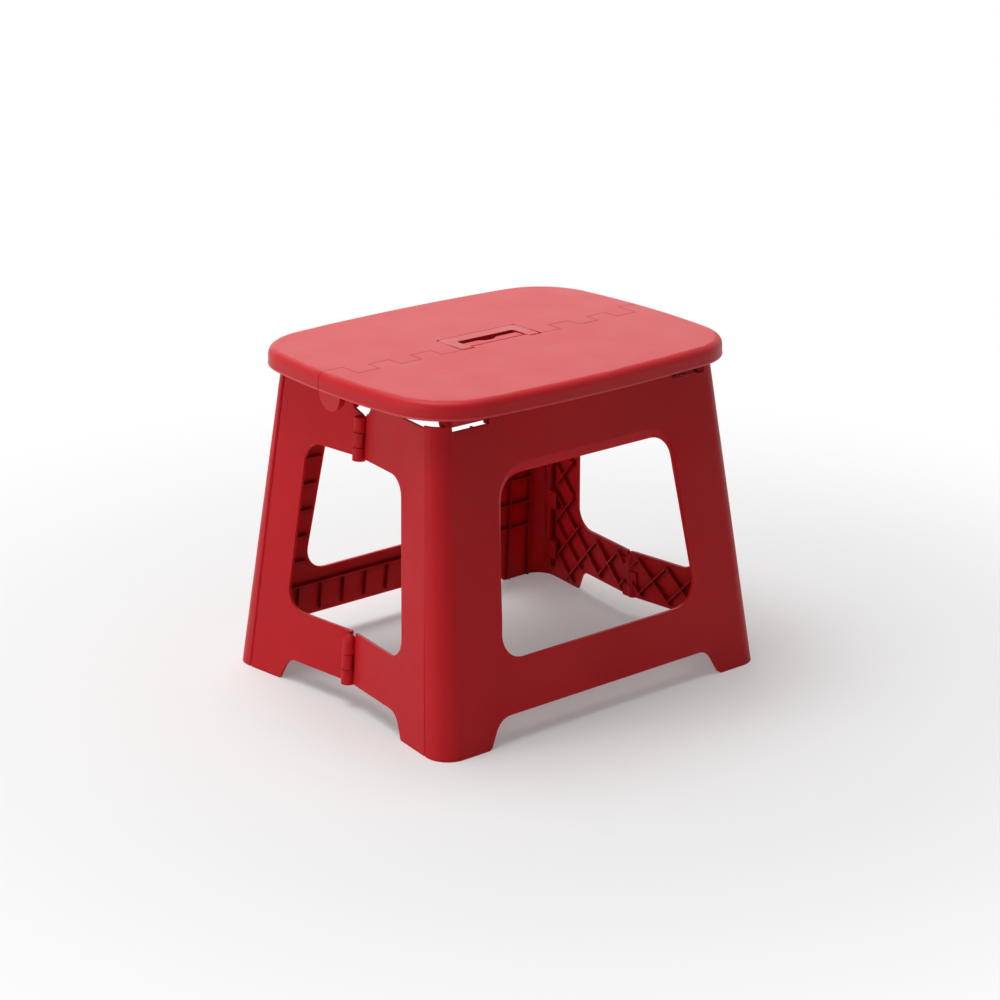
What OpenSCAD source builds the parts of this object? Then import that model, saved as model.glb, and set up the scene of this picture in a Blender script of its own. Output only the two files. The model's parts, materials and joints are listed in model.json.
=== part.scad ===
// Folding step stool of moulded plastic, standing open.
// Origin: middle of the footprint on the floor. +X runs along the seat's centre seam,
// +Y points to the back end panel, +Z is up. All sizes are in millimetres and degrees.
// Two seat halves hinge along the seam, two end panels hang from them, and each side has
// two leaves that fold inward when the seam is pulled up.

/* [Overall] */
// Height of the seat top above the floor
stool_h = 270; // [262:1:300]
// Length of the footprint along the seam
base_len = 329; // [322:1:345]
// Width of the footprint across the seam
base_wid = 277; // [274:1:290]
// Lean of the two side walls from upright
side_lean = 5.04; // [4.6:0.02:5.4]
// Lean of the two end walls from upright
end_lean = 8.28; // [8.1:0.02:8.6]
// Lean of the seams between end panels and leaves, seen from the side
seam_lean = 6.11; // [6:0.01:6.2]
// Radius of the stool's corners at the floor
base_corner_r = 18.5; // [16:0.5:20]
// Radius of the stool's corners at the top of the panels
top_corner_r = 15.3; // [14:0.1:17]

/* [Seat] */
// Length of the seat along the seam
seat_len = 326; // [320:1:330]
// Width of the seat across the seam
seat_wid = 256; // [250:1:262]
// Radius of the seat's corners
seat_corner_r = 56; // [48:1:62]
// Bulge of the two long edges
long_bulge = 5; // [2:0.5:7]
// Bulge of the two short edges
short_bulge = 4.6; // [2:0.2:6]
// Depth of the rim
rim_depth = 14; // [13.6:0.1:15]
// Radius of the rim's top edge
rim_round = 6; // [3:0.5:8]
// Thickness of the seat's top skin
seat_skin = 3; // [2.4:0.2:4]
// Thickness of the rim's skirt
skirt_wall = 2.6; // [2:0.2:3.4]
// Thickness of the ribs under the seat
seat_rib = 1.8; // [1.2:0.2:3]
// Spacing of the ribs under the seat
seat_rib_pitch = 40; // [30:1:42]
// Distance from the seam to the first rib that runs along it
seat_rib_y = 48; // [40:1:56]
// Distance of the ribs' lower edges above the rim's
seat_rib_up = 2; // [1:0.5:5]

/* [Seam] */
// Pitch of the interlocking tongues along the seam
tongue_pitch = 20; // [18:0.5:20.5]
// Reach of a tongue past the seam
tongue_reach = 7; // [6:0.5:8]
// Radius of the round ears that hang at the seam's two ends
ear_r = 13; // [11:0.5:14]
// Thickness of an ear
ear_t = 5; // [3:0.5:7]
// Outer radius of the seam hinge's knuckles
seam_knuckle_r = 4.5; // [4:0.1:5]
// Radius of the seam hinge's pins
seam_pin_r = 2; // [1.4:0.1:2.6]
// Distance of the seam hinge's axis below the rim
seam_axis_drop = 0.5; // [0.3:0.1:1]
// Distance from the middle to the near end of a seam pin
seam_pin_x = 14.5; // [13:0.5:18]
// Distance of the ears inside the seat's edge
ear_in = 0.8; // [0.6:0.1:1.5]
// Distance of the blocks that carry the knuckles inside the skirt
beam_in = 4; // [2:0.5:8]

/* [Handle] */
// Length of the handle along the seam
handle_len = 78; // [70:1:79]
// Reach of the handle across the seam
handle_reach = 34.5; // [32:0.5:38]
// Distance of the handle's near end from the seam
handle_back = 8; // [7.6:0.1:8.6]
// Width of the handle's arms
handle_arm = 10.5; // [8:0.5:12]
// Width of the handle's grip bar
handle_bar = 12; // [9:0.5:14]
// Thickness of the handle
handle_t = 7; // [6:0.2:7.6]
// Radius of the handle's outer corners
handle_corner_r = 4; // [2:0.5:6]
// Radius of the handle's hinge pins
handle_pin_r = 1.2; // [0.8:0.1:1.5]
// Reach of a handle pin into the seat
handle_pin_in = 8; // [6:0.5:10]
// Width of the finger slot at the grip bar
slot_w = 5.5; // [5.5:0.1:7]
// Radius of the finger notch in the plate inside the handle
notch_r = 11; // [9:0.5:13]
// Distance of the finger notch's centre past the plate's edge
notch_out = 7; // [6:0.5:9]
// Distance of the finger notch to the left of the middle
notch_left = 2; // [0:0.5:4]
// Depth of the dished plate inside the handle
dish_depth = 0.8; // [0.4:0.1:1.2]
// Width of the rim left at the dished plate's near edge
dish_rim = 1.8; // [1:0.1:3]
// Thickness of the floor under the handle
handle_floor = 3; // [2:0.2:4]

/* [Walls] */
// Wall thickness of the end panels
panel_wall = 2.5; // [2:0.1:3]
// Height of the end panels' top edge below the seat top
panel_top_drop = 21.7; // [21.5:0.1:23]
// Depth of the ribs on the upper rail of the end panels
rib_depth_top = 2.6; // [1.5:0.1:3]
// Depth of the other ribs on the end panels
rib_depth = 3; // [2:0.5:5]
// Thickness of the ribs on the panels and leaves
rib_t = 1.6; // [1.2:0.1:2.2]
// Spacing of the ribs on the end panels
rib_pitch = 23; // [18:1:30]
// Distance from the middle to the first upright rib on the lower rail
rail_rib_x = 13.5; // [8:0.5:15]
// Height of the lowest rib that runs level
level_rib_z = 51; // [40:1:56]
// Distance of the ribs' ends from the edges of the openings and the arches
rib_back = 4; // [3:0.5:6]
// Wall thickness of the side leaves
leaf_wall = 2.5; // [2:0.1:3]
// Whole depth of a leaf with its ribs
leaf_depth = 5.8; // [5:0.1:8]
// Spacing of the slanting ribs on the leaves
leaf_rib_pitch = 22; // [18:1:34]
// Step of the leaves' faces behind the panels' faces at the seams
leaf_step = 0.15; // [0.1:0.05:0.4]
// Distance of the leaves' top edges below the end hinges' axes
leaf_drop = 4; // [3.6:0.1:6]
// Distance of the leaves' ribs below their top edges
leaf_rib_drop = 5.5; // [5.5:0.1:8]
// Distance of the inner upright rib on the posts from the side face
post_rib_in = 40.3; // [34:0.1:42]

/* [Openings] */
// Width of the end panels' posts at the floor line
end_post_w = 55.9; // [52:0.1:64]
// Lean of the sides of these openings
end_open_lean = 6.9; // [5:0.1:8]
// Height of the bottom edge of these openings
end_open_z1 = 63; // [56:1:72]
// Distance of the top edge of these openings below the seat top
end_open_drop = 68.3; // [62:0.1:80]
// Corner radius of the openings
open_r = 20; // [12:1:26]
// Height of the slanting edge over the end openings
brow_h = 8; // [4:0.5:10]
// Width of this edge at the openings' upper corners
brow_side = 3.2; // [1:0.2:4]
// Flat edge left between this slant and the wall's inner face
brow_land = 0.25; // [0.2:0.05:1]
// Width of the sides' posts at the floor line
side_post_w = 57; // [54:0.5:64]
// Height of the bottom edge of the side openings
side_open_z1 = 61; // [56:1:66]
// Distance of the top edge of the side openings below the seat top
side_open_drop = 69.5; // [66:0.5:80]
// Corner radius of the side openings
side_open_r = 16; // [10:1:20]

/* [Feet] */
// Height of the arch under the end panels
end_arch_h = 22; // [14:1:30]
// Width of the end panels' feet
end_foot_w = 46.1; // [38:0.1:54]
// Height of the arch under the sides
side_arch_h = 19.2; // [14:0.2:24]
// Width of the feet on the sides
side_foot_w = 58.5; // [50:0.5:64]
// Chamfer on the inner corners of the end panels' feet
foot_chamfer = 2; // [1:0.5:3]
// Slant of the inner edges of the feet
foot_slant = 27; // [15:1:35]
// Radius in the corner between foot and rail under the end panels
arch_r = 16; // [10:1:20]
// Radius in the corner between foot and rail under the sides
side_arch_r = 14; // [8:1:17]

/* [Corner hinges] */
// Reach of the end panels round the corners at the floor
wrap_reach = 23.5; // [21.5:0.5:26.5]
// Depth of the corner hinge's axis inside the side face
corner_in = 6; // [5.8:0.1:6.4]
// Distance of the corner hinge's axis behind the seam
corner_behind = 4.4; // [4.2:0.1:4.6]
// Outer radius of the corner hinge's knuckles
corner_knuckle_r = 3.2; // [3:0.1:3.3]
// Radius of the corner hinge's pins
corner_pin_r = 1.5; // [1:0.1:1.8]
// Length of a leaf's knuckle in the corner hinge
corner_knuckle_len = 16; // [12:1:20]
// Height of the lowest leaf knuckle's middle
corner_knuckle_z = 30; // [28:1:34]
// Distance of the highest leaf knuckle's middle below the seat top
corner_knuckle_drop = 48; // [46:1:64]
// Number of knuckles on a leaf in its corner hinge
corner_knuckles = 5; // [4:1:5]
// Reach of the low corner pins below the leaf's lowest knuckle
corner_pin_below = 10; // [8:0.5:10.5]
// Reach of the high corner pins above the leaf's highest knuckle
corner_pin_above = 6; // [5:0.5:8]
// Reach of the arm that carries a leaf's knuckle, from the seam into the leaf
corner_arm = 7; // [5:0.5:9]

/* [Side hinges] */
// Depth of the side hinge's axis inside the side face at the floor
side_axis_in = 12.15; // [11.8:0.05:12.4]
// Distance of the side hinge's axis outside the leaf's face at the floor
side_axis_out = 1.75; // [1.5:0.05:2]
// Outer radius of the side hinge's knuckles
side_knuckle_r = 5.2; // [4.8:0.1:5.6]
// Radius of the side hinge's pins
side_pin_r = 1.6; // [1.2:0.1:2]
// Depth of a side pin's ends inside the outer knuckles
side_pin_in = 2; // [1.5:0.1:4]
// Height of the lower side hinge's bottom end
low_hinge_z = 18.5; // [17:0.5:20]
// Length of the lower side hinge
low_hinge_len = 36; // [34:0.5:38]
// Length of its lowest knuckle
low_end_len = 12.1; // [9:0.1:13]
// Length of its middle knuckle
low_mid_len = 12.4; // [9:0.1:13]
// Distance of the upper side hinge's bottom end below the seat top
high_hinge_drop = 71.5; // [70:0.5:73]
// Length of the upper side hinge
high_hinge_len = 34; // [32:0.5:34]
// Length of its lowest knuckle
high_end_len = 10.6; // [9:0.1:12]
// Length of its middle knuckle
high_mid_len = 11.7; // [9:0.1:12]
// Depth of the notch above the upper side hinge, at the leaf's edge
notch_depth = 12.5; // [11:0.5:13]
// Depth at which the notch widens
notch_bend = 9; // [7:0.5:10]
// Half width of the notch at the leaf's top edge
notch_half = 14; // [12:0.5:18]
// Half width of the notch where it widens
notch_neck = 9; // [7:0.5:11]
// Reach of the web that joins a knuckle to its leaf
side_web = 4; // [3:0.5:6]
// Gap between the knuckles of a side hinge
split_gap = 0.6; // [0.5:0.05:0.8]
// Room in a leaf around the other leaf's knuckles
side_room = 0.7; // [0.6:0.05:1]
// Room in the leaf over the side hinges' top ends
side_end_room = 8.4; // [8:0.1:9]

/* [End hinges] */
// Depth of the end hinges' axes inside the end face
end_axis_in = 5.12; // [4.8:0.01:5.4]
// Height of the end hinges' axes below the rim
end_axis_drop = 6; // [5.9:0.1:6.2]
// Outer radius of the seat's lugs in the end hinges
lug_r = 4.7; // [4.4:0.1:4.8]
// Outer radius of the panels' knuckles in the end hinges
end_knuckle_r = 4.5; // [4.2:0.1:4.6]
// Radius of the end hinges' pins
end_pin_r = 1.6; // [1.2:0.1:1.8]
// Distance of the seat lugs from the side face
lug_in = 16.4; // [14:0.1:20]
// Length of a seat lug
lug_len = 34; // [26:1:36]
// Length of the panel's knuckle on a lug's near side, with its gap
end_near_len = 10; // [8:0.5:14]
// Length of the panel's knuckle on a lug's far side, with its gap
end_far_len = 5; // [4.5:0.1:5.5]

/* [Clearances] */
// Radial clearance of a pin that runs in its bore
run_fit = 0.05; // [0.03:0.01:0.08]
// Radial clearance of the loose bores in the front end hinges
loose_fit = 1.5; // [1.4:0.05:1.6]
// Radial clearance of the loose bores in the right side hinge
slack_fit = 0.35; // [0.3:0.05:0.5]
// Gap between the faces of neighbouring pieces
face_gap = 0.5; // [0.4:0.05:0.6]
// Room around a knuckle that turns inside another piece
knuckle_room = 0.4; // [0.35:0.05:0.6]
// Gap between a pin's end and the end of its blind bore
pin_end_gap = 0.5; // [0.3:0.05:0.8]
// Gap between the two leaves' edges and the middle plane
mid_gap = 0.35; // [0.3:0.05:0.5]

/* [Hidden] */
$fn = 48;

// Small step by which a cut runs past the face that it cuts
over = 1;
// Depth by which one part of a piece runs into the next, so that they join
bite = 0.5;
// Thickness of the thin slices between which a wall is drawn
slice = 0.01;
// Thickness of the wall that closes a blind bore, and of a knuckle past its pin
end_wall = 1;
knuckle_cap = 2;
// Webs of the panels' end knuckles: height above the leaves' ribs, and reach behind the axis
web_up = 2;
web_back = 3;
web_foot = 1;
// Slopes of the leaning walls, in millimetres per millimetre of height
side_slope = tan(side_lean);
end_slope = tan(end_lean);
open_slope = tan(end_open_lean);
// The seam between panel and leaf leans with the corner hinge's axis
wrap_slope = tan(seam_lean);

rim_z = stool_h - rim_depth;
panel_top = stool_h - panel_top_drop;
seam_axis_z = rim_z - seam_axis_drop;
end_axis_z = rim_z - end_axis_drop;
skin_z = stool_h - seat_skin;

function half_x(z) = base_len / 2 - side_slope * z;
function half_y(z) = base_wid / 2 - end_slope * z;
function wrap_at(z) = wrap_y - wrap_slope * z;
function corner_r(z) = base_corner_r + (top_corner_r - base_corner_r) * z / panel_top;

// Places that keep their distance from the stool's own faces
wrap_y = base_wid / 2 - wrap_reach;
end_axis_y = half_y(end_axis_z) - end_axis_in;
lug_x = half_x(end_axis_z) - lug_in - lug_len;
end_open_half = base_len / 2 - end_post_w;
end_open_z2 = stool_h - end_open_drop;
end_foot_x = base_len / 2 - end_foot_w;
side_open_half = base_wid / 2 - side_post_w;
side_open_z2 = stool_h - side_open_drop;
side_foot_y = base_wid / 2 - side_foot_w;
high_hinge_z = stool_h - high_hinge_drop;

// Hinge axes of the left back quarter: a point at floor level and a direction
corner_0 = [-(base_len / 2 - corner_in), wrap_y + corner_behind, 0];
corner_dir = [side_slope, -wrap_slope, 1];
// Corner and side axes meet at one point high above the middle plane
apex_z = corner_0[1] / wrap_slope;
apex = corner_0 + corner_dir * apex_z;
side_0 = [-(base_len / 2 - side_axis_in), 0, 0];
side_dir = (apex - side_0) / apex_z;

// The leaf's outer face: a plane through the apex
leaf_a = [-base_len / 2 + leaf_step, wrap_y];
leaf_b = [side_0[0] + side_axis_out, 0];
leaf_turn = atan2(leaf_b[0] - leaf_a[0], leaf_a[1]);
leaf_reach = (apex[0] - leaf_a[0]) * cos(leaf_turn) + (apex[1] - leaf_a[1]) * sin(leaf_turn);
leaf_lean = atan(leaf_reach / apex_z);
// Top of the leaves and top of their ribs
leaf_top = end_axis_z - leaf_drop;
leaf_rib_top = leaf_top - leaf_rib_drop;

// Heights of the side hinges' knuckle ends, from the bottom up
low_knuckles = [low_hinge_z, low_hinge_z + low_end_len, low_hinge_z + low_end_len + low_mid_len,
    low_hinge_z + low_hinge_len];
high_knuckles = [high_hinge_z, high_hinge_z + high_end_len,
    high_hinge_z + high_end_len + high_mid_len, high_hinge_z + high_hinge_len];

// Middles of the leaf's knuckles in the corner hinge
corner_knuckle_step = (stool_h - corner_knuckle_drop - corner_knuckle_z) / (corner_knuckles - 1);
knuckle_mids = [for (i = [0:corner_knuckles - 1]) corner_knuckle_z + i * corner_knuckle_step];
// Ends of the corner pins, which meet between the second and third knuckles
corner_low_end = corner_knuckle_z - corner_knuckle_len / 2 - corner_pin_below;
corner_high_end = knuckle_mids[corner_knuckles - 1] + corner_knuckle_len / 2 + corner_pin_above;
corner_split = corner_knuckle_z + 1.5 * corner_knuckle_step;

// Points of a polygon whose corners [x, y, r] are rounded
function unit(v) = v / norm(v);
function flat(v) = [v[0], v[1]];
function round_corner(p, q, s) = let (
        a = unit(flat(p) - flat(q)),
        b = unit(flat(s) - flat(q)),
        half = acos(a * b) / 2,
        reach = q[2] / tan(half),
        t1 = flat(q) + a * reach,
        c = flat(q) + unit(a + b) * (q[2] / sin(half)),
        a1 = atan2(t1[1] - c[1], t1[0] - c[0]),
        turn = a[0] * b[1] - a[1] * b[0] > 0 ? -1 : 1,
        sweep = (180 - 2 * half) * turn,
        steps = max(2, ceil((180 - 2 * half) / 9))
    ) [for (i = [0:steps]) c + q[2] * [cos(a1 + sweep * i / steps), sin(a1 + sweep * i / steps)]];
function round_poly(pts) = let (n = len(pts)) [
    for (i = [0:n - 1])
        each (pts[i][2] > 0
            ? round_corner(pts[(i + n - 1) % n], pts[i], pts[(i + 1) % n])
            : [flat(pts[i])])
];
// The same outline on both sides of the vertical axis
function both_sides(pts) = concat(pts,
    [for (i = [len(pts) - 1:-1:0]) [-pts[i][0], pts[i][1], pts[i][2]]]);

module along_y(y1, y2) {
    translate([0, y2, 0]) rotate([90, 0, 0]) linear_extrude(y2 - y1) children();
}
module along_x(x1, x2) {
    translate([x1, 0, 0]) rotate([90, 0, 90]) linear_extrude(x2 - x1) children();
}
module rod_x(x1, x2, y, z, r) {
    translate([x1, y, z]) rotate([0, 90, 0]) cylinder(h = x2 - x1, r = r);
}
// Frame along a leaning hinge axis, its Z up the axis and its origin at height z
module on_axis(p0, dir, z) {
    translate(p0 + dir * z)
        rotate([0, 0, atan2(dir[1], dir[0])])
        rotate([0, acos(1 / norm(dir)), 0])
        rotate([0, 0, -atan2(dir[1], dir[0])])
        children();
}
module axis_rod(p0, dir, z1, z2, r) {
    on_axis(p0, dir, z1) cylinder(h = (z2 - z1) * norm(dir), r = r);
}
// Copies for the other three quarters
module quarter(left, back) {
    if (left && back) children();
    if (left && !back) mirror([0, 1, 0]) children();
    if (!left && back) mirror([1, 0, 0]) children();
    if (!left && !back) mirror([1, 0, 0]) mirror([0, 1, 0]) children();
}
module left_and_right() {
    children();
    mirror([1, 0, 0]) children();
}

// End panels, drawn at the back

module wall_slice(z, inset) {
    hx = half_x(z) - inset;
    hy = half_y(z) - inset;
    r = corner_r(z) - inset;
    translate([0, 0, z]) linear_extrude(slice)
        polygon(round_poly([[hx, hy, r], [-hx, hy, r], [-hx, -hy, r], [hx, -hy, r]]));
}
module wall_block(z1, z2, inset) {
    hull() {
        wall_slice(z1, inset);
        wall_slice(z2, inset);
    }
}
// Everything behind the seam between panel and leaf
module wrap_zone() {
    along_x(-base_len, base_len)
        polygon([[wrap_at(-over), -over], [base_wid, -over],
            [base_wid, stool_h], [wrap_at(stool_h), stool_h]]);
}
// A leaning layer on the inside of the end wall
module inner_layer(z1, z2, depth) {
    inner = panel_wall - bite;
    along_x(-base_len, base_len)
        polygon([[half_y(z1) - inner, z1], [half_y(z1) - panel_wall - depth, z1],
            [half_y(z2) - panel_wall - depth, z2], [half_y(z2) - inner, z2]]);
}
function end_open_at(z) = end_open_half - open_slope * z;
function end_opening(grow) = both_sides([
    [end_open_at(end_open_z1 - grow) + grow, end_open_z1 - grow, open_r + grow],
    [end_open_at(end_open_z2 + grow) + grow, end_open_z2 + grow, open_r + grow]]);
function end_arch(grow) = both_sides([
    [end_foot_x + foot_chamfer + grow, -over, 0],
    [end_foot_x + foot_chamfer + grow, 0, 0],
    [end_foot_x - tan(foot_slant) * foot_chamfer + grow, foot_chamfer, 0],
    [end_foot_x + grow - tan(foot_slant) * (end_arch_h + grow), end_arch_h + grow, arch_r + grow]]);
// Slanting brow over the opening: widest at the wall's face, it fades down the sides
module brow() {
    hull() {
        brow_slice(-slice, brow_h, brow_side);
        brow_slice(panel_wall - brow_land, -bite, -bite);
    }
}
module brow_slice(depth, up, side) {
    low_z = end_open_z1 + open_r;
    translate([0, half_y(0) - depth, 0]) rotate([90 + end_lean, 0, 0]) linear_extrude(slice)
        polygon(round_poly(both_sides([
            [end_open_at(low_z) - bite, low_z / cos(end_lean), 0],
            [end_open_at(end_open_z2) + side, (end_open_z2 + up) / cos(end_lean), open_r + up]])));
}
// Upright rib on both posts, parallel to the side faces
module post_rib(x) {
    turn = side_slope * end_open_z2;
    left_and_right()
        along_y(0, base_wid)
            polygon([[x - rib_t, 0], [x, 0], [x - turn, end_open_z2],
                [x - rib_t - turn, end_open_z2]]);
}
module panel_ribs() {
    level_ribs = [level_rib_z:rib_pitch:end_open_z2];
    rail_places = [rail_rib_x:rib_pitch:end_foot_x];
    // ribs of the posts and the lower rail
    intersection() {
        inner_layer(over / 2, end_open_z2 + rib_t, rib_depth);
        difference() {
            union() {
                for (z = level_ribs)
                    left_and_right()
                        translate([end_open_at(z), 0, z - rib_t / 2])
                            cube([half_x(z) - base_corner_r - end_open_at(z), base_wid, rib_t]);
                post_rib(base_len / 2 - post_rib_in);
                post_rib(base_len / 2 - base_corner_r);
                for (x = rail_places)
                    left_and_right()
                        translate([x - rib_t / 2, 0, 0])
                            cube([rib_t, base_wid, level_rib_z]);
                translate([-end_open_half, 0, level_rib_z - rib_t / 2])
                    cube([2 * end_open_half, base_wid, rib_t]);
            }
            along_y(0, base_wid) polygon(round_poly(end_opening(rib_back)));
            along_y(0, base_wid) polygon(round_poly(end_arch(rib_back)));
        }
    }
    // shallow ribs of the upper rail, which the folded leaf passes
    intersection() {
        inner_layer(end_open_z2, panel_top - 2 * rib_t, rib_depth_top);
        union() {
            for (x = rail_places)
                left_and_right()
                    translate([x - rib_t / 2, 0, end_open_z2])
                        cube([rib_t, base_wid, panel_top]);
            translate([-half_x(panel_top) + base_corner_r, 0, (end_open_z2 + panel_top) / 2])
                cube([2 * (half_x(panel_top) - base_corner_r), base_wid, rib_t]);
        }
    }
}
// Knuckles of the corner hinge on the panel, one quarter
module panel_corner_knuckles() {
    half = corner_knuckle_len / 2 + face_gap;
    ends = concat([corner_low_end - knuckle_cap], [for (m = knuckle_mids) each [m - half, m + half]],
        [corner_high_end + knuckle_cap]);
    web_out = corner_in - panel_wall + bite;
    for (i = [0:len(knuckle_mids)]) {
        z1 = ends[2 * i];
        z2 = ends[2 * i + 1];
        axis_rod(corner_0, corner_dir, z1, z2, corner_knuckle_r);
        on_axis(corner_0, corner_dir, z1)
            translate([-web_out, -corner_pin_r - end_wall, 0])
                cube([web_out, 2 * corner_pin_r + 2 * end_wall, (z2 - z1) * norm(corner_dir)]);
    }
}
// Room inside the panel's round corner for the leaf's knuckles
module corner_relief() {
    room = corner_knuckle_r + knuckle_room;
    for (m = knuckle_mids) {
        z1 = m - corner_knuckle_len / 2 - face_gap;
        length = (corner_knuckle_len + 2 * face_gap) * norm(corner_dir);
        on_axis(corner_0, corner_dir, z1) {
            cylinder(h = length, r = room);
            translate([-room, -corner_behind, 0]) cube([room, corner_behind, length]);
        }
    }
}
// Knuckles of the end hinge on the panel, each with its web, and the windows for the lugs
module panel_end_knuckle(x1, x2) {
    rod_x(x1, x2, end_axis_y, end_axis_z, end_knuckle_r);
    web_z = leaf_rib_top + web_up;
    along_x(x1, x2)
        polygon([[end_axis_y - web_back, end_axis_z], [end_axis_y - web_foot, web_z],
            [half_y(web_z) - bite, web_z], [half_y(end_axis_z) - bite, end_axis_z]]);
}
module lug_window(depth) {
    translate([lug_x - face_gap, end_axis_y - lug_r - face_gap, end_axis_z - lug_r - depth])
        cube([lug_len + 2 * face_gap, base_wid, 2 * lug_r + rim_depth]);
}
module corner_bore() {
    axis_rod(corner_0, corner_dir, corner_low_end - pin_end_gap, corner_high_end + pin_end_gap,
        corner_pin_r + run_fit);
}
module below_floor() {
    translate([-base_len, -base_wid, -2 * over]) cube([2 * base_len, 2 * base_wid, 2 * over]);
}
module end_panel(window, bore_fit) {
    difference() {
        union() {
            intersection() {
                difference() {
                    wall_block(0, panel_top, 0);
                    wall_block(-over, panel_top + over, panel_wall);
                }
                wrap_zone();
            }
            panel_ribs();
            left_and_right() {
                panel_corner_knuckles();
                panel_end_knuckle(lug_x - end_near_len, lug_x - face_gap);
                panel_end_knuckle(lug_x + lug_len + face_gap, lug_x + lug_len + end_far_len);
            }
        }
        along_y(0, base_wid) polygon(round_poly(end_opening(0)));
        along_y(0, base_wid) polygon(round_poly(end_arch(0)));
        brow();
        left_and_right() {
            corner_relief();
            corner_bore();
            lug_window(window);
            rod_x(lug_x - end_near_len + knuckle_cap - pin_end_gap,
                lug_x + lug_len + end_far_len - knuckle_cap + pin_end_gap,
                end_axis_y, end_axis_z, end_pin_r + bore_fit);
        }
        below_floor();
    }
}
module back_end_panel() {
    color([0.62, 0.09, 0.09]) end_panel(face_gap, run_fit);
}
module front_end_panel() {
    color([0.62, 0.09, 0.09]) mirror([0, 1, 0]) end_panel(loose_fit + face_gap, loose_fit);
}

// Side leaves, drawn at the left back

// Place in the leaf's own plane of a point on its outer face
function leaf_pt(y, z) = [(leaf_a[1] + sin(leaf_turn) * tan(leaf_lean) * z - y) / cos(leaf_turn),
    z / cos(leaf_lean)];
function leaf_pts(pts) = [for (p = pts) leaf_pt(p[0], p[1])];
function side_open_at(z) = side_open_half - wrap_slope * z;
function leaf_outline(e) = round_poly([
    [side_foot_y + e, e, 0],
    [wrap_at(e) - face_gap - e, e, 0],
    [wrap_at(leaf_top) - face_gap - e, leaf_top - e, 0],
    [notch_half + e, leaf_top - e, 2],
    [notch_neck + e, leaf_top - notch_bend - e, 3],
    [mid_gap + e, leaf_top - notch_depth - e, 0],
    [mid_gap + e, side_open_z2 + e, 0],
    [side_open_at(side_open_z2) + e, side_open_z2 + e, side_open_r + e],
    [side_open_at(side_open_z1) + e, side_open_z1 - e, side_open_r + e],
    [mid_gap + e, side_open_z1 - e, 0],
    [mid_gap + e, side_arch_h + e, 0],
    [side_foot_y + e - tan(foot_slant) * (side_arch_h + e), side_arch_h + e, side_arch_r + e]]);
module leaf_layer(depth, thick) {
    translate([leaf_a[0], leaf_a[1], 0])
        rotate([0, 0, leaf_turn - 90])
        rotate([-leaf_lean, 0, 0])
        translate([0, depth + thick, 0])
        rotate([90, 0, 0])
        linear_extrude(thick)
        children();
}
module leaf_lattice() {
    count = ceil(stool_h / 2 / leaf_rib_pitch) + 1;
    for (turn = [-45, 45])
        for (i = [-count:count])
            translate([wrap_y / 2, stool_h / 2]) rotate(turn)
                translate([i * leaf_rib_pitch - rib_t / 2, -stool_h]) square([rib_t, 2 * stool_h]);
}
module leaf_ribs() {
    leaf_layer(leaf_wall - bite, leaf_depth - leaf_wall + bite)
        intersection() {
            polygon(leaf_pts(leaf_outline(rib_back)));
            translate([-over, 0]) square([2 * wrap_y, leaf_rib_top]);
            leaf_lattice();
        }
}
// Arm and knuckle that reach behind the panel's wrap
module leaf_corner_knuckle(z) {
    length = corner_knuckle_len * norm(corner_dir);
    on_axis(corner_0, corner_dir, z - corner_knuckle_len / 2) {
        cylinder(h = length, r = corner_knuckle_r);
        translate([-corner_knuckle_r, -corner_behind - corner_arm, 0])
            cube([2 * corner_knuckle_r, corner_behind + corner_arm, length]);
        // root of the arm, sunk into the leaf's skin
        translate([-corner_in + leaf_wall - bite, -corner_behind - corner_arm, 0])
            cube([corner_in, corner_arm - 2 * face_gap, length]);
    }
}
module side_knuckle(z1, z2) {
    axis_rod(side_0, side_dir, z1, z2, side_knuckle_r);
    on_axis(side_0, side_dir, z1)
        translate([side_axis_out - bite, 0, 0])
            cube([leaf_wall + 2 * bite, side_knuckle_r + side_web, (z2 - z1) * norm(side_dir)]);
}
module side_knuckles(ends, outer) {
    half = split_gap / 2;
    if (outer) {
        side_knuckle(ends[0], ends[1] - half);
        side_knuckle(ends[2] + half, ends[3]);
    } else {
        side_knuckle(ends[1] + half, ends[2] - half);
    }
}
// Room in a leaf for the other leaf's knuckles
module side_clearance(ends, outer) {
    room = side_knuckle_r + side_room;
    if (outer) {
        axis_rod(side_0, side_dir, ends[1] - split_gap, ends[2] + split_gap, room);
    } else {
        axis_rod(side_0, side_dir, ends[0] - side_knuckle_r, ends[1] + split_gap, room);
        axis_rod(side_0, side_dir, ends[2] - split_gap, ends[3] + side_end_room, room);
    }
}
// Rod inside a side hinge, its ends drawn in from the hinge's ends
module side_rod(ends, inset, r) {
    axis_rod(side_0, side_dir, ends[0] + inset, ends[3] - inset, r);
}
module leaf(outer, fit) {
    difference() {
        union() {
            difference() {
                union() {
                    leaf_layer(0, leaf_wall) polygon(leaf_pts(leaf_outline(0)));
                    leaf_ribs();
                }
                side_clearance(low_knuckles, outer);
                side_clearance(high_knuckles, outer);
            }
            side_knuckles(low_knuckles, outer);
            side_knuckles(high_knuckles, outer);
            // rounded cap on the lower hinge, above the rail
            if (outer)
                on_axis(side_0, side_dir, low_knuckles[3] - bite) intersection() {
                    sphere(r = side_knuckle_r);
                    cylinder(h = 2 * side_knuckle_r, r = 2 * side_knuckle_r);
                }
            for (z = knuckle_mids)
                leaf_corner_knuckle(z);
        }
        side_rod(low_knuckles, side_pin_in - pin_end_gap, side_pin_r + fit);
        side_rod(high_knuckles, side_pin_in - pin_end_gap, side_pin_r + fit);
        corner_bore();
        below_floor();
    }
}
module left_back_leaf() {
    color([0.75, 0.19, 0.19]) quarter(true, true) leaf(true, run_fit);
}
module left_front_leaf() {
    color([0.75, 0.19, 0.19]) quarter(true, false) leaf(false, run_fit);
}
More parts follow.
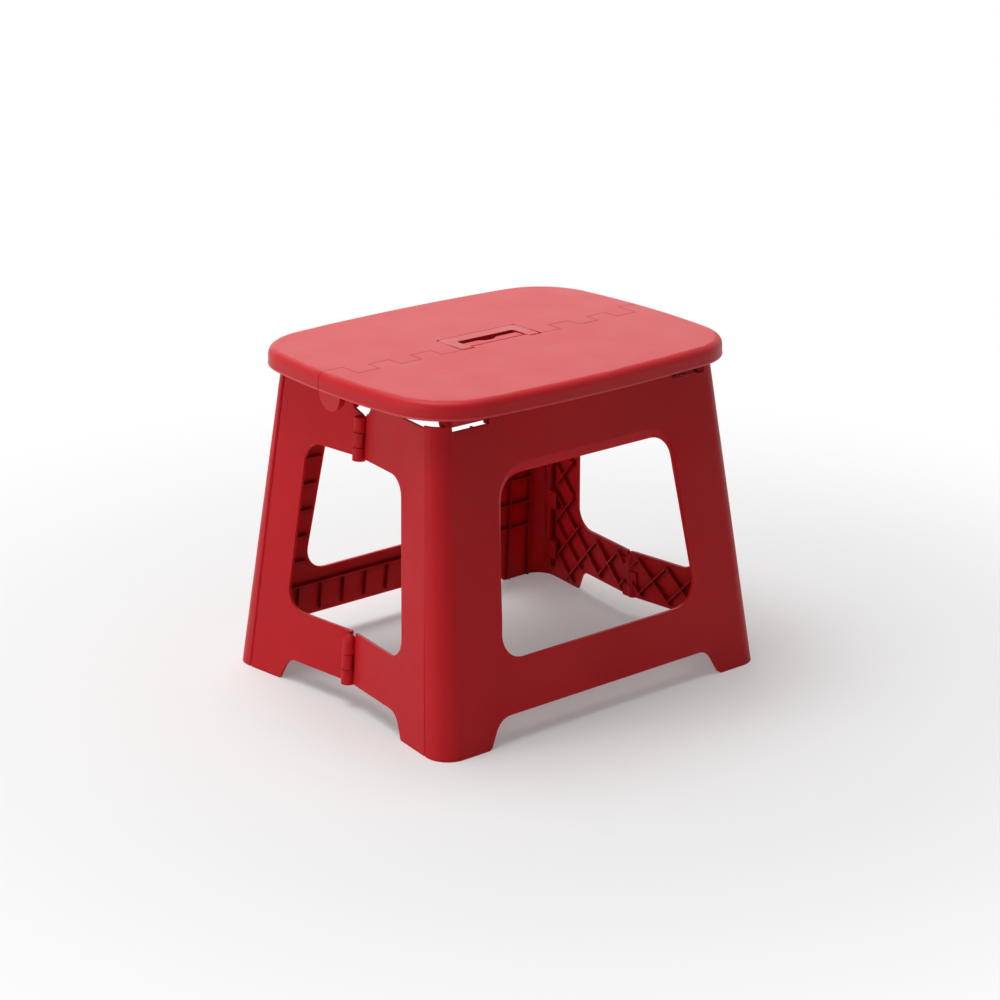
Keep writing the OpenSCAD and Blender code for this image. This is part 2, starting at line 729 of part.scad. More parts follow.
module right_back_leaf() {
    color([0.75, 0.19, 0.19]) quarter(false, true) leaf(true, run_fit);
}
module right_front_leaf() {
    color([0.75, 0.19, 0.19]) quarter(false, false) leaf(false, slack_fit);
}

// Hinge pins

module corner_pin(left, back, high) {
    z1 = high ? corner_split + face_gap : corner_low_end;
    z2 = high ? corner_high_end : corner_split - face_gap;
    color([0.55, 0.08, 0.08]) quarter(left, back)
        axis_rod(corner_0, corner_dir, z1, z2, corner_pin_r);
}
module side_pin(left, high) {
    color([0.55, 0.08, 0.08]) quarter(left, true)
        side_rod(high ? high_knuckles : low_knuckles, side_pin_in, side_pin_r);
}
module end_pin(left, back) {
    color([0.55, 0.08, 0.08]) quarter(left, back)
        rod_x(-lug_x - lug_len - end_far_len + knuckle_cap, -lug_x + end_near_len - knuckle_cap,
            end_axis_y, end_axis_z, end_pin_r);
}
module seam_pin(left) {
    color([0.55, 0.08, 0.08]) quarter(left, true)
        rod_x(-seat_len / 2 + ear_t, -seam_pin_x, 0, seam_axis_z, seam_pin_r);
}
module handle_pins() {
    color([0.55, 0.08, 0.08]) left_and_right()
        rod_x(inner_x - handle_pin_in, handle_len / 2 - end_wall, handle_axis_y, handle_axis_z,
            handle_pin_r);
}

// Seat

// Outline of the seat: bulging edges that run into round corners, clockwise from the back
long_steps = 8;
corner_steps = 12;
short_steps = 6;
long_turn = atan(2 * long_bulge / (seat_len / 2 - seat_corner_r));
short_turn = atan(2 * short_bulge / (seat_wid / 2 - seat_corner_r));
function seat_quarter(hx, hy, r) = let (
        cx = hx - short_bulge - r * cos(short_turn),
        cy = hy - long_bulge - r * cos(long_turn),
        xa = cx + r * sin(long_turn),
        yb = cy + r * sin(short_turn)
    ) concat(
        [for (i = [0:long_steps - 1]) let (t = i / long_steps) [xa * t, hy - long_bulge * t * t]],
        [for (i = [0:corner_steps])
            let (a = 90 - long_turn - (90 - long_turn - short_turn) * i / corner_steps)
            [cx + r * cos(a), cy + r * sin(a)]],
        [for (i = [1:short_steps - 1]) let (t = 1 - i / short_steps)
            [hx - short_bulge * t * t, yb * t]]);
function seat_outline(inset) = let (
        hx = seat_len / 2 - inset,
        q = seat_quarter(hx, seat_wid / 2 - inset, seat_corner_r - inset),
        m = len(q)
    ) concat(q, [[hx, 0]],
        [for (i = [m - 1:-1:0]) [q[i][0], -q[i][1]]],
        [for (i = [1:m - 1]) [-q[i][0], -q[i][1]]], [[-hx, 0]],
        [for (i = [m - 1:-1:1]) [-q[i][0], q[i][1]]]);
// Solid through rings of the same outline, each ring [height, inset]
module ring_solid(rings) {
    outlines = [for (g = rings) [for (p = seat_outline(g[1])) [p[0], p[1], g[0]]]];
    n = len(outlines[0]);
    last = len(rings) - 1;
    polyhedron(
        points = [for (o = outlines) each o],
        faces = concat(
            [[for (i = [n - 1:-1:0]) i]],
            [for (k = [0:last - 1]) for (i = [0:n - 1]) let (j = (i + 1) % n)
                each [[k * n + i, k * n + j, (k + 1) * n + j],
                    [k * n + i, (k + 1) * n + j, (k + 1) * n + i]]],
            [[for (i = [0:n - 1]) last * n + i]]));
}
module seat_blank() {
    ring_solid(concat([[rim_z, 0]],
        [for (a = [0:22.5:90]) [stool_h - rim_round * (1 - sin(a)), rim_round * (1 - cos(a))]]));
}
// Hollow body of the seat with its ribs, before it is parted
module seat_shell() {
    difference() {
        seat_blank();
        translate([0, 0, rim_z - over]) linear_extrude(skin_z - rim_z + over)
            polygon(seat_outline(skirt_wall));
    }
    intersection() {
        translate([0, 0, rim_z + seat_rib_up]) linear_extrude(skin_z - rim_z - seat_rib_up + bite)
            polygon(seat_outline(skirt_wall / 2));
        union() {
            for (k = [0:3])
                left_and_right()
                    translate([(k + 0.5) * seat_rib_pitch - seat_rib / 2, -seat_wid, 0])
                        cube([seat_rib, 2 * seat_wid, stool_h]);
            for (k = [0:1])
                for (side = [-1, 1])
                    translate([-seat_len, side * (seat_rib_y + k * seat_rib_pitch) - seat_rib / 2, 0])
                        cube([2 * seat_len, seat_rib, stool_h]);
        }
    }
}
inner_x = handle_len / 2 - handle_arm - face_gap;
pocket_x = handle_len / 2 + face_gap;
handle_far = handle_reach - handle_back;
plate_y = handle_far - handle_bar - slot_w;
handle_axis_y = -handle_back + handle_t / 2;
handle_axis_z = stool_h - handle_t / 2;
pocket_y = -handle_back - face_gap;
// Top of the floor under the handle
floor_z = stool_h - handle_t - face_gap;
// Edges that the opening for the fingers leaves under the handle: at its ends, under the bar
finger_in = 2;
finger_shelf = 5;
// Tongues of the two halves: near and far end, counted in pitches from the middle
front_tongues = [[3, 4], [5, 6]];
back_tongues = [[2, 3], [4, 5], [6, 7]];
ear_x = 7 * tongue_pitch;
// Near and far end of a tongue in millimetres
function tongue_near(t) = max(t[0] * tongue_pitch + face_gap / 2, pocket_x);
function tongue_far(t) = t[1] * tongue_pitch - face_gap / 2;

module plan_block(x1, x2, y1, y2, z1, z2) {
    translate([x1, y1, z1]) cube([x2 - x1, y2 - y1, z2 - z1]);
}
// Plan of the front half's share, as a set of blocks
module front_share(z1, z2) {
    plan_block(-seat_len, seat_len, -seat_wid, -tongue_reach - face_gap, z1, z2);
    left_and_right() {
        for (t = front_tongues)
            plan_block(tongue_near(t), tongue_far(t), -2 * tongue_reach, tongue_reach, z1, z2);
        plan_block(ear_x + face_gap / 2, seat_len, -2 * tongue_reach, ear_r, z1, z2);
    }
    plan_block(-inner_x, inner_x, -2 * tongue_reach, plate_y, z1, z2);
}
module back_share(z1, z2) {
    difference() {
        plan_block(-ear_x + face_gap / 2, ear_x - face_gap / 2, tongue_reach + face_gap, seat_wid,
            z1, z2);
        plan_block(-inner_x - face_gap, inner_x + face_gap, 0, plate_y + face_gap,
            z1 - over, z2 + over);
    }
    left_and_right() {
        plan_block(ear_x - face_gap, seat_len, ear_r + face_gap, seat_wid, z1, z2);
        for (t = back_tongues)
            plan_block(tongue_near(t), tongue_far(t), -tongue_reach, 2 * tongue_reach, z1, z2);
    }
}
// Seat lugs of the end hinges, at the back
module lugs() {
    left_and_right() {
        rod_x(lug_x, lug_x + lug_len, end_axis_y, end_axis_z, lug_r);
        plan_block(lug_x, lug_x + lug_len, end_axis_y - lug_r, end_axis_y + lug_r,
            end_axis_z, skin_z + bite);
    }
}
module lug_bores() {
    left_and_right()
        rod_x(lug_x - over, lug_x + lug_len + over, end_axis_y, end_axis_z, end_pin_r + run_fit);
}
module seam_bore() {
    left_and_right()
        rod_x(seam_pin_x - pin_end_gap, seat_len / 2 - ear_t + pin_end_gap, 0, seam_axis_z,
            seam_pin_r + run_fit);
}
module seam_knuckle(x1, x2) {
    left_and_right() rod_x(x1, x2, 0, seam_axis_z, seam_knuckle_r);
}
// Solid blocks that carry the seam's knuckles
module seam_beam(y1, y2) {
    x = seat_len / 2 - skirt_wall - beam_in;
    plan_block(-x, x, y1, y2, rim_z, skin_z + bite);
}
module handle_room(y1) {
    plan_block(-pocket_x, pocket_x, y1, handle_far + face_gap, floor_z, stool_h + over);
}
module seat_front() {
    color([0.82, 0.33, 0.34]) difference() {
        union() {
            intersection() {
                union() {
                    seat_shell();
                    seam_beam(-2 * tongue_reach, ear_r);
                }
                front_share(rim_z - over, stool_h + over);
            }
            for (t = front_tongues)
                seam_knuckle(tongue_near(t), tongue_far(t));
            seam_knuckle(seam_pin_x - pin_end_gap - end_wall, inner_x);
            // round ears under the rim at the two ends of the seam
            intersection() {
                left_and_right()
                    rod_x(seat_len / 2 - ear_t - ear_in, seat_len / 2 - ear_in, 0, seam_axis_z, ear_r);
                plan_block(-seat_len, seat_len, -ear_r, ear_r, 0, stool_h - rim_round);
            }
            mirror([0, 1, 0]) lugs();
        }
        seam_bore();
        mirror([0, 1, 0]) lug_bores();
        // pockets for the handle's arms, and the dished plate between them
        left_and_right()
            plan_block(inner_x, pocket_x, pocket_y, handle_far, rim_z - over, stool_h + over);
        plan_block(-inner_x - over, inner_x + over, handle_axis_y + handle_pin_r + dish_rim,
            handle_far, stool_h - dish_depth, stool_h + over);
        // finger notch in the plate's edge
        translate([-notch_left, plate_y + notch_out, rim_z - seam_knuckle_r - over])
            cylinder(h = rim_depth + 2 * seam_knuckle_r, r = notch_r);
        left_and_right()
            rod_x(inner_x - handle_pin_in - pin_end_gap, handle_len / 2, handle_axis_y,
                handle_axis_z, handle_pin_r + run_fit);
    }
}
module seat_back() {
    color([0.82, 0.33, 0.34]) difference() {
        union() {
            intersection() {
                union() {
                    seat_shell();
                    seam_beam(-tongue_reach, 2 * tongue_reach);
                    // floor and walls around the handle
                    plan_block(-pocket_x - skirt_wall, pocket_x + skirt_wall, face_gap,
                        handle_far + skirt_wall, floor_z - handle_floor, skin_z + bite);
                }
                union() {
                    back_share(rim_z - over, stool_h + over);
                    left_and_right()
                        plan_block(inner_x + face_gap, pocket_x + over, face_gap, 2 * tongue_reach,
                            rim_z, floor_z);
                }
            }
            for (t = back_tongues)
                seam_knuckle(tongue_near(t), tongue_far(t));
            lugs();
        }
        seam_bore();
        lug_bores();
        handle_room(-2 * tongue_reach);
        // finger opening under the grip bar
        plan_block(-inner_x + finger_in, inner_x - finger_in, plate_y + face_gap - over,
            handle_far - finger_shelf, rim_z - over, stool_h);
    }
}
module pull_handle() {
    hx = handle_len / 2;
    inner_hx = hx - handle_arm;
    color([0.8, 0.3, 0.31]) difference() {
        union() {
            translate([0, 0, stool_h - handle_t]) linear_extrude(handle_t)
                difference() {
                    polygon(round_poly([[hx, handle_far, handle_corner_r],
                        [-hx, handle_far, handle_corner_r],
                        [-hx, handle_axis_y, 0], [hx, handle_axis_y, 0]]));
                    polygon(round_poly([[inner_hx, handle_far - handle_bar, handle_corner_r / 2],
                        [-inner_hx, handle_far - handle_bar, handle_corner_r / 2],
                        [-inner_hx, handle_axis_y - over, 0],
                        [inner_hx, handle_axis_y - over, 0]]));
                }
            left_and_right()
                rod_x(inner_hx, hx, handle_axis_y, handle_axis_z, handle_t / 2);
        }
        left_and_right()
            rod_x(inner_hx - over, hx - end_wall + pin_end_gap, handle_axis_y, handle_axis_z,
                handle_pin_r + run_fit);
    }
}

seat_front();
seat_back();
pull_handle();
handle_pins();
seam_pin(true);  // seam_pin_left
seam_pin(false);  // seam_pin_right
front_end_panel();
back_end_panel();
end_pin(true, false);  // front_hinge_pin_left
end_pin(false, false);  // front_hinge_pin_right
end_pin(true, true);  // back_hinge_pin_left
end_pin(false, true);  // back_hinge_pin_right
left_front_leaf();
left_back_leaf();
right_front_leaf();
right_back_leaf();
corner_pin(true, false, false);  // corner_pin_left_front_low
corner_pin(true, false, true);  // corner_pin_left_front_high
corner_pin(true, true, false);  // corner_pin_left_back_low
corner_pin(true, true, true);  // corner_pin_left_back_high
corner_pin(false, false, false);  // corner_pin_right_front_low
corner_pin(false, false, true);  // corner_pin_right_front_high
corner_pin(false, true, false);  // corner_pin_right_back_low
corner_pin(false, true, true);  // corner_pin_right_back_high
side_pin(true, false);  // side_pin_left_low
side_pin(true, true);  // side_pin_left_high
side_pin(false, false);  // side_pin_right_low
side_pin(false, true);  // side_pin_right_high
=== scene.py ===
"""Folding step stool of red moulded plastic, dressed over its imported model.

Every shell is a merged copy of the solid that it stands for, so each size stays the model's own.
Grooves are cut into the copies, where the wrapped corners meet the leaves and beside the handle.
The lip round the seat's rim and the hinge pins are swept by geometry nodes.
"""

import json
import logging
import math
from dataclasses import dataclass
from enum import Enum
from typing import Any, Iterable

import bmesh
import bpy
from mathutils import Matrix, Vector

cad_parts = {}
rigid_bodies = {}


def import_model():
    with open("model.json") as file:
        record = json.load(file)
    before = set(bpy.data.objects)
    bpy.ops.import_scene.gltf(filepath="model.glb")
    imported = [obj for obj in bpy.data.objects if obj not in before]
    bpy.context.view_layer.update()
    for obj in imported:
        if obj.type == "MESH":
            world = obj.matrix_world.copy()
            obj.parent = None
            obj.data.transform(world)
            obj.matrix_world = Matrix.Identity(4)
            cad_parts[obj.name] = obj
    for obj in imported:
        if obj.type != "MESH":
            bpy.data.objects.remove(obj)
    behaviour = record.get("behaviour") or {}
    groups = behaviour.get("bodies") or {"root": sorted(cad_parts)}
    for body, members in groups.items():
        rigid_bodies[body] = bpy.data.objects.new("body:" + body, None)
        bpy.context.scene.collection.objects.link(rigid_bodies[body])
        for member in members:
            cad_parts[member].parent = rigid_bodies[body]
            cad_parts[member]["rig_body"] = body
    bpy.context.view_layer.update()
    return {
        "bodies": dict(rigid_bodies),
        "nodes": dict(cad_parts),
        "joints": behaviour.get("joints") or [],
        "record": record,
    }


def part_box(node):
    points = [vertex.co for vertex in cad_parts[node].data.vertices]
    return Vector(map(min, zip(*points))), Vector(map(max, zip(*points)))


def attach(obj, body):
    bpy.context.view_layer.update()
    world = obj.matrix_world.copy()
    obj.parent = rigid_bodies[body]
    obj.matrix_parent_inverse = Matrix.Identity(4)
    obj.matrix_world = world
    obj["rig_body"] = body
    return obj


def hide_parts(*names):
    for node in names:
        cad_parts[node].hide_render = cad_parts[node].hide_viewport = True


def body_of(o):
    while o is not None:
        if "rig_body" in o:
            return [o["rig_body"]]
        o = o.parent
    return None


LOG = logging.getLogger("step_stool")
MM = 0.001

# The sockets of a Mix node share their names among its data types, so they go by number.
MIX_COLOUR_INPUTS = (0, 6, 7)
MIX_COLOUR_OUTPUT = 2
MIX_NUMBER_INPUTS = (0, 2, 3)
MIX_NUMBER_OUTPUT = 0

Point = tuple[float, float, float]
Colour = tuple[float, float, float]


class Slot(Enum):
    """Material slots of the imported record."""

    SEAT = "seat_plastic"
    HANDLE = "handle_plastic"
    PANEL = "panel_plastic"
    LEAF = "leaf_plastic"
    PIN = "pin_plastic"


class Side(Enum):
    """The two seat halves, by the way they lie from the seam."""

    FRONT = -1
    BACK = 1


def add_node(tree: bpy.types.NodeTree, kind: str, **settings: Any) -> bpy.types.Node:
    """Adds a node and sets its plain properties.

    Args:
        tree: Tree that takes the node.
        kind: Type name of the node.
        **settings: Properties of the node, by name.

    Returns:
        The new node.
    """
    node = tree.nodes.new(kind)
    for name, value in settings.items():
        setattr(node, name, value)
    return node


def feed(tree: bpy.types.NodeTree, source: Any, target: Any) -> None:
    """Gives a socket its source, which is either another socket or a plain value.

    Args:
        tree: Tree that holds both.
        source: Output socket, number, colour or vector.
        target: Input socket.
    """
    if isinstance(source, bpy.types.NodeSocket):
        tree.links.new(source, target)
    else:
        target.default_value = source


def maths(tree: bpy.types.NodeTree, operation: str, *values: Any, clamp: bool = False) -> Any:
    """Adds a Math node.

    Args:
        tree: Tree that takes the node.
        operation: Name of the operation.
        *values: Sockets or numbers, in order.
        clamp: True to keep the result from 0 to 1.

    Returns:
        The result's socket.
    """
    node = add_node(tree, "ShaderNodeMath", operation=operation, use_clamp=clamp)
    for value, target in zip(values, node.inputs):
        feed(tree, value, target)
    return node.outputs[0]


def noise(tree: bpy.types.NodeTree, where: Any, scale: Any, detail: float, rough: float) -> Any:
    """Adds a noise texture on given coordinates.

    Args:
        tree: Tree that takes the node.
        where: Socket of the coordinates.
        scale: Socket or number for the scale.
        detail: Octaves.
        rough: Weight of the finer octaves.

    Returns:
        The socket of its value.
    """
    node = add_node(tree, "ShaderNodeTexNoise")
    feed(tree, where, node.inputs["Vector"])
    feed(tree, scale, node.inputs["Scale"])
    node.inputs["Detail"].default_value = detail
    node.inputs["Roughness"].default_value = rough
    return node.outputs["Fac"]


def remap(tree: bpy.types.NodeTree, value: Any, low: float, high: float, to_low: Any,
          to_high: Any) -> Any:
    """Adds a smooth Map Range node.

    Args:
        tree: Tree that takes the node.
        value: Socket to map.
        low: Value that gives to_low.
        high: Value that gives to_high.
        to_low: Socket or number at the low end.
        to_high: Socket or number at the high end.

    Returns:
        The result's socket.
    """
    node = add_node(tree, "ShaderNodeMapRange", interpolation_type="SMOOTHSTEP")
    for source, name in ((value, "Value"), (low, "From Min"), (high, "From Max"),
                         (to_low, "To Min"), (to_high, "To Max")):
        feed(tree, source, node.inputs[name])
    return node.outputs["Result"]


def blend_colours(tree: bpy.types.NodeTree, share: Any, first: Any, second: Any) -> Any:
    """Adds a colour Mix node.

    Args:
        tree: Tree that takes the node.
        share: Socket or number, 0 for the first colour and 1 for the second.
        first: Socket or colour with alpha.
        second: Socket or colour with alpha.

    Returns:
        The mixed colour's socket.
    """
    node = add_node(tree, "ShaderNodeMix", data_type="RGBA")
    for source, place in zip((share, first, second), MIX_COLOUR_INPUTS):
        feed(tree, source, node.inputs[place])
    return node.outputs[MIX_COLOUR_OUTPUT]


class SurfaceEffects:
    """Shader node groups for what more than one of the plastics shows."""

    NEAR_SAMPLES, WIDE_SAMPLES, ROOM_SAMPLES = 6, 4, 6
    EDGE_GAIN = 3.0
    ROOM_LIMITS = (0.45, 0.98)
    FINE_SHARE, BROAD_SHARE = 0.45, 0.55
    DRAWN = (1.0, 1.0, 0.35)
    FLOW_LIMITS = (0.35, 0.7)
    PATCH_SCALE = 22.0
    PATCH_LIMITS = (0.3, 0.72)
    RUBBED_EDGE = -0.06

    def __init__(self) -> None:
        """Builds each group once."""
        self.soft_edges = self._soft_edges()
        self.crevice_shade = self._crevice_shade()
        self.mould_grain = self._mould_grain()
        self.flow_marks = self._flow_marks()
        self.handling = self._handling()

    @staticmethod
    def _open(name: str, inputs: dict[str, tuple[str, Any]], outputs: dict[str, str]) -> Any:
        """Opens a group with its sockets.

        Args:
            name: Name of the group.
            inputs: Socket type and starting value of each input, by name.
            outputs: Socket type of each output, by name.

        Returns:
            The tree, its input node and its output node.
        """
        tree = bpy.data.node_groups.new(name, "ShaderNodeTree")
        for label, (kind, value) in inputs.items():
            socket = tree.interface.new_socket(label, in_out="INPUT", socket_type=kind)
            socket.default_value = value
        for label, kind in outputs.items():
            tree.interface.new_socket(label, in_out="OUTPUT", socket_type=kind)
        return tree, add_node(tree, "NodeGroupInput"), add_node(tree, "NodeGroupOutput")

    def _soft_edges(self) -> bpy.types.NodeTree:
        """Rounds every moulded edge and gives a mask of where the edges are.

        Returns:
            A group with the outputs Normal and Edge.
        """
        tree, given, out = self._open(
            "Soft moulded edges",
            {"Radius": ("NodeSocketFloat", 0.0006), "Reach": ("NodeSocketFloat", 0.0014)},
            {"Normal": "NodeSocketVector", "Edge": "NodeSocketFloat"},
        )
        near = add_node(tree, "ShaderNodeBevel", samples=self.NEAR_SAMPLES)
        wide = add_node(tree, "ShaderNodeBevel", samples=self.WIDE_SAMPLES)
        feed(tree, given.outputs["Radius"], near.inputs["Radius"])
        feed(tree, given.outputs["Reach"], wide.inputs["Radius"])
        plain = add_node(tree, "ShaderNodeNewGeometry")
        agree = add_node(tree, "ShaderNodeVectorMath", operation="DOT_PRODUCT")
        feed(tree, wide.outputs[0], agree.inputs[0])
        feed(tree, plain.outputs["Normal"], agree.inputs[1])
        turned = maths(tree, "SUBTRACT", 1.0, agree.outputs["Value"], clamp=True)
        feed(tree, near.outputs[0], out.inputs["Normal"])
        mask = maths(tree, "MULTIPLY", turned, self.EDGE_GAIN, clamp=True)
        feed(tree, mask, out.inputs["Edge"])
        return tree

    def _crevice_shade(self) -> bpy.types.NodeTree:
        """Painted shade: a darker colour in recesses and beside the ribs, where ambient occlusion
        finds the space closed in, standing in for the thick wall letting less light through.

        Returns:
            A group with the output Colour.
        """
        tree, given, out = self._open(
            "Painted crevice shade",
            {
                "Open": ("NodeSocketColor", (0.5, 0.02, 0.02, 1.0)),
                "Deep": ("NodeSocketColor", (0.2, 0.01, 0.01, 1.0)),
                "Distance": ("NodeSocketFloat", 0.006),
                "Amount": ("NodeSocketFloat", 1.0),
            },
            {"Colour": "NodeSocketColor"},
        )
        room = add_node(tree, "ShaderNodeAmbientOcclusion", samples=self.ROOM_SAMPLES,
                        only_local=True)
        feed(tree, given.outputs["Distance"], room.inputs["Distance"])
        painted_shade_mask = remap(tree, room.outputs["AO"], *self.ROOM_LIMITS, 1.0, 0.0)
        share = maths(tree, "MULTIPLY", painted_shade_mask, given.outputs["Amount"], clamp=True)
        feed(tree, blend_colours(tree, share, given.outputs["Open"], given.outputs["Deep"]),
             out.inputs["Colour"])
        return tree

    def _mould_grain(self) -> bpy.types.NodeTree:
        """The faint orange-peel texture that the steel of the mould leaves.

        Returns:
            A group with the output Height.
        """
        tree, given, out = self._open(
            "Mould grain",
            {"Fine": ("NodeSocketFloat", 1500.0), "Broad": ("NodeSocketFloat", 90.0)},
            {"Height": "NodeSocketFloat"},
        )
        where = add_node(tree, "ShaderNodeTexCoord").outputs["Object"]
        fine = noise(tree, where, given.outputs["Fine"], detail=2.0, rough=0.55)
        broad = noise(tree, where, given.outputs["Broad"], detail=1.0, rough=0.4)
        both = maths(tree, "ADD", maths(tree, "MULTIPLY", fine, self.FINE_SHARE),
                     maths(tree, "MULTIPLY", broad, self.BROAD_SHARE))
        feed(tree, both, out.inputs["Height"])
        return tree

    def _flow_marks(self) -> bpy.types.NodeTree:
        """Slow changes of tone where the melt flowed and cooled at different rates.

        Returns:
            A group with the output Colour.
        """
        tree, given, out = self._open(
            "Flow marks",
            {
                "Body": ("NodeSocketColor", (0.5, 0.02, 0.02, 1.0)),
                "Streak": ("NodeSocketColor", (0.4, 0.01, 0.01, 1.0)),
                "Scale": ("NodeSocketFloat", 9.0),
                "Amount": ("NodeSocketFloat", 0.5),
            },
            {"Colour": "NodeSocketColor"},
        )
        where = add_node(tree, "ShaderNodeTexCoord").outputs["Object"]
        drawn = add_node(tree, "ShaderNodeMapping")
        drawn.inputs["Scale"].default_value = self.DRAWN
        feed(tree, where, drawn.inputs["Vector"])
        cloud = noise(tree, drawn.outputs[0], given.outputs["Scale"], detail=3.0, rough=0.5)
        share = maths(tree, "MULTIPLY", remap(tree, cloud, *self.FLOW_LIMITS, 0.0, 1.0),
                      given.outputs["Amount"], clamp=True)
        feed(tree, blend_colours(tree, share, given.outputs["Body"], given.outputs["Streak"]),
             out.inputs["Colour"])
        return tree

    def _handling(self) -> bpy.types.NodeTree:
        """Roughness that hands and feet have changed: rubbed smooth here, scuffed dull there.

        Returns:
            A group with the output Roughness.
        """
        tree, given, out = self._open(
            "Handling wear",
            {
                "Smooth": ("NodeSocketFloat", 0.36),
                "Dull": ("NodeSocketFloat", 0.48),
                "Edge": ("NodeSocketFloat", 0.0),
            },
            {"Roughness": "NodeSocketFloat"},
        )
        where = add_node(tree, "ShaderNodeTexCoord").outputs["Object"]
        patches = noise(tree, where, self.PATCH_SCALE, detail=4.0, rough=0.6)
        base = remap(tree, patches, *self.PATCH_LIMITS, given.outputs["Smooth"],
                     given.outputs["Dull"])
        rubbed = maths(tree, "MULTIPLY", given.outputs["Edge"], self.RUBBED_EDGE)
        feed(tree, maths(tree, "ADD", base, rubbed, clamp=True), out.inputs["Roughness"])
        return tree


@dataclass(frozen=True)
class MouldedPlastic:
    """Finish of one moulded part.

    Lengths are metres and colours linear.
    """

    name: str
    body: Colour
    streak: Colour
    # The edge colour is painted along every moulded edge: painted shade where it is dark, painted
    # highlight where it is light.
    edge: Colour
    # The deep colour is painted shade for recesses and the sides of ribs.
    deep: Colour = (0.2, 0.003, 0.005)
    streak_share: float = 0.6
    streak_scale: float = 9.0
    # Share of the painted edge colour, shade on the dark finishes and highlight on the light
    # ones.
    painted_edge_share: float = 0.35
    smooth: float = 0.38
    dull: float = 0.5
    gloss: float = 0.12
    glow: float = 0.2
    # Share of the painted shade in recesses and beside ribs.
    crevice_shade_share: float = 0.0
    grain: float = 0.12
    edge_radius: float = 0.0007
    edge_reach: float = 0.0014
    grain_depth: float = 0.0003
    glow_reach: Colour = (1.0, 0.08, 0.08)
    glow_depth: float = 0.006

    def make(self, effects: SurfaceEffects) -> bpy.types.Material:
        """Builds the material.

        Args:
            effects: The shared node groups.

        Returns:
            The new material.
        """
        material = bpy.data.materials.new(self.name)
        material.use_nodes = True
        tree = material.node_tree
        shader = tree.nodes["Principled BSDF"]
        edges = add_node(tree, "ShaderNodeGroup", node_tree=effects.soft_edges)
        edges.inputs["Radius"].default_value = self.edge_radius
        edges.inputs["Reach"].default_value = self.edge_reach
        flow = add_node(tree, "ShaderNodeGroup", node_tree=effects.flow_marks)
        flow.inputs["Body"].default_value = (*self.body, 1.0)
        flow.inputs["Streak"].default_value = (*self.streak, 1.0)
        flow.inputs["Scale"].default_value = self.streak_scale
        flow.inputs["Amount"].default_value = self.streak_share
        # Painted edge light and shade: the bevel's edge mask mixes in the edge colour, painted
        # shade in seams and on edges for the dark finishes, a painted highlight for the light
        # ones.
        painted_edge_shading = maths(tree, "MULTIPLY", edges.outputs["Edge"], self.painted_edge_share, clamp=True)
        tone = blend_colours(tree, painted_edge_shading, flow.outputs["Colour"], (*self.edge, 1.0))
        # Painted shade: ambient occlusion darkens the colour in recesses and beside the ribs.
        if self.crevice_shade_share:
            crevice_shade = add_node(tree, "ShaderNodeGroup", node_tree=effects.crevice_shade)
            crevice_shade.inputs["Deep"].default_value = (*self.deep, 1.0)
            crevice_shade.inputs["Amount"].default_value = self.crevice_shade_share
            feed(tree, tone, crevice_shade.inputs["Open"])
            tone = crevice_shade.outputs["Colour"]
        feed(tree, tone, shader.inputs["Base Color"])
        wear = add_node(tree, "ShaderNodeGroup", node_tree=effects.handling)
        wear.inputs["Smooth"].default_value = self.smooth
        wear.inputs["Dull"].default_value = self.dull
        feed(tree, edges.outputs["Edge"], wear.inputs["Edge"])
        feed(tree, wear.outputs["Roughness"], shader.inputs["Roughness"])
        grain = add_node(tree, "ShaderNodeGroup", node_tree=effects.mould_grain)
        bump = add_node(tree, "ShaderNodeBump")
        bump.inputs["Strength"].default_value = self.grain
        bump.inputs["Distance"].default_value = self.grain_depth
        feed(tree, grain.outputs["Height"], bump.inputs["Height"])
        feed(tree, edges.outputs["Normal"], bump.inputs["Normal"])
        feed(tree, bump.outputs["Normal"], shader.inputs["Normal"])
        shader.inputs["Specular IOR Level"].default_value = self.gloss
        shader.inputs["Subsurface Weight"].default_value = self.glow
        shader.inputs["Subsurface Radius"].default_value = self.glow_reach
        shader.inputs["Subsurface Scale"].default_value = self.glow_depth
        return material


